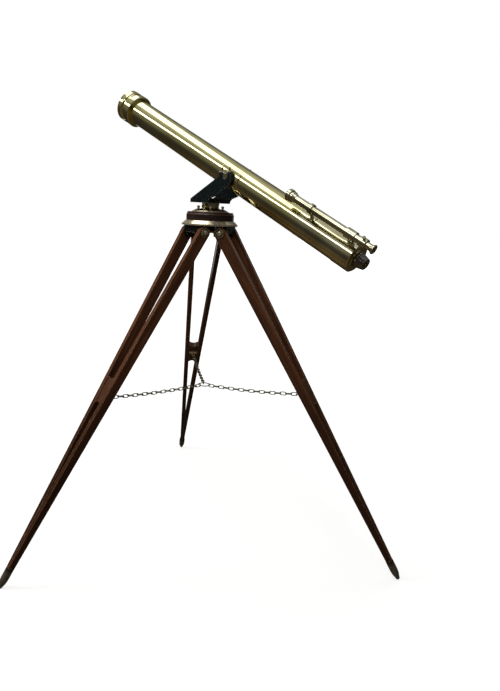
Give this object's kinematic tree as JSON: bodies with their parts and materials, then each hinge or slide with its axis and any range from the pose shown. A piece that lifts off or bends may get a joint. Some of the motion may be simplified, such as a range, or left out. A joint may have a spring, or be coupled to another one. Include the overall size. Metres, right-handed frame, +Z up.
{
  "type": "telescope on tripod",
  "caption": "Brass refracting telescope with finder on an iron yoke, on a folding wooden tripod braced by a chain.",
  "frame": {"origin": "on the floor under the tripod's centre line", "axes": "+Z up; the optical axis lies in the XZ plane, object glass towards -X, eyepiece towards +X"},
  "size_m": [1.3756, 1.3292, 1.7089],
  "materials": {
    "lacquered_brass": "polished and lacquered, worn",
    "screw_brass": "satin",
    "chain_brass": "tarnished",
    "leg_wood": "varnished mahogany",
    "disc_wood": "dark polished hardwood",
    "black_iron": "black japanned",
    "dark_iron": "blackened",
    "black_ebonite": "turned black hard rubber",
    "glass": "polished"
  },
  "bodies": {
    "tripod_head": {"head_flange": "lacquered_brass", "head_disc": "disc_wood", "azimuth_plate": "lacquered_brass", "plate_screws": "screw_brass", "column": "lacquered_brass", "hinge_blocks": "dark_iron", "hinge_bolts": "lacquered_brass", "chain_ring": "chain_brass", "chain_arm1": "chain_brass", "chain_arm2": "chain_brass", "chain_arm3": "chain_brass"},
    "azimuth_screw": {"azimuth_clamp": "lacquered_brass"},
    "mount": {"azimuth_spindle": "dark_iron", "spindle_nut": "dark_iron", "yoke": "black_iron", "trunnion_cap_near": "lacquered_brass", "trunnion_cap_far": "lacquered_brass", "cap_screws": "screw_brass"},
    "telescope": {"counter_cell": "lacquered_brass", "object_cell": "lacquered_brass", "retaining_ring": "lacquered_brass", "flint_lens": "glass", "crown_lens": "glass", "cell_screws": "screw_brass", "main_tube": "lacquered_brass", "tail_tube": "lacquered_brass", "tail_ring": "lacquered_brass", "draw_guide": "lacquered_brass", "pinion_bearing": "lacquered_brass", "saddle_near": "lacquered_brass", "saddle_far": "lacquered_brass", "saddle_screws": "screw_brass", "finder_tube": "lacquered_brass", "finder_cell": "lacquered_brass", "finder_lens": "glass", "finder_front_bracket": "lacquered_brass", "finder_rear_bracket": "lacquered_brass", "finder_collar": "lacquered_brass"},
    "focus_slider": {"draw_tube": "lacquered_brass", "rack": "lacquered_brass", "eyepiece": "black_ebonite", "eye_lens": "glass"},
    "focus_pinion": {"focus_knob": "lacquered_brass"},
    "finder_slider": {"finder_eyepiece": "lacquered_brass"},
    "finder_clamp": {"finder_screw": "lacquered_brass"},
    "leg1": {"leg1_bar_left": "leg_wood", "leg1_bar_right": "leg_wood", "leg1_block": "leg_wood", "leg1_shoe": "lacquered_brass", "leg1_chain_eye": "lacquered_brass"},
    "leg2": {"leg2_bar_left": "leg_wood", "leg2_bar_right": "leg_wood", "leg2_block": "leg_wood", "leg2_shoe": "lacquered_brass", "leg2_chain_eye": "lacquered_brass"},
    "leg3": {"leg3_bar_left": "leg_wood", "leg3_bar_right": "leg_wood", "leg3_block": "leg_wood", "leg3_shoe": "lacquered_brass", "leg3_chain_eye": "lacquered_brass"}
  },
  "joints": [
    {"name": "leg1_fold", "type": "hinge", "parent": "tripod_head", "child": "leg1", "pos_m": [0.06157, 0.02084, 1.1836], "axis": [-0.3206, 0.9472, 0], "range_deg": [0, 28], "deforming": ["chain_arm1"]},
    {"name": "leg2_fold", "type": "hinge", "parent": "tripod_head", "child": "leg2", "pos_m": [-0.04883, 0.0429, 1.1836], "axis": [-0.66, -0.7513, 0], "range_deg": [0, 28], "deforming": ["chain_arm2"]},
    {"name": "leg3_fold", "type": "hinge", "parent": "tripod_head", "child": "leg3", "pos_m": [-0.01274, -0.06374, 1.1836], "axis": [0.9806, -0.1959, 0], "range_deg": [0, 28], "deforming": ["chain_arm3"]},
    {"name": "azimuth", "type": "hinge", "parent": "tripod_head", "child": "mount", "pos_m": [0, 0, 1.2885], "axis": [0, 0, 1], "continuous": true},
    {"name": "azimuth_clamp_turn", "type": "hinge", "parent": "tripod_head", "child": "azimuth_screw", "pos_m": [0.00763, -0.03927, 1.2765], "axis": [0.1908, -0.9816, 0], "range_deg": [-180, 180]},
    {"name": "altitude", "type": "hinge", "parent": "mount", "child": "telescope", "pos_m": [0.113, 0, 1.3777], "axis": [0, 1, 0], "range_deg": [-34, 36]},
    {"name": "focus_slide", "type": "slide", "parent": "telescope", "child": "focus_slider", "axis": [0.9003, 0, -0.4352], "range_m": [0, 0.075]},
    {"name": "focus_turn", "type": "hinge", "parent": "telescope", "child": "focus_pinion", "pos_m": [0.55438, 0.03365, 1.11435], "axis": [0.4352, 0, 0.9003], "range_deg": [0, 616]},
    {"name": "finder_slide", "type": "slide", "parent": "telescope", "child": "finder_slider", "axis": [0.9003, 0, -0.4352], "range_m": [-0.012, 0.015]},
    {"name": "finder_screw_turn", "type": "hinge", "parent": "telescope", "child": "finder_clamp", "pos_m": [0.66003, -0.07638, 1.20423], "axis": [0.3183, -0.682, 0.6585], "range_deg": [-180, 180]}
  ],
  "couplings": [
    {"joint": "focus_turn", "follows": "focus_slide", "rad_per_m": 142.86}
  ]
}
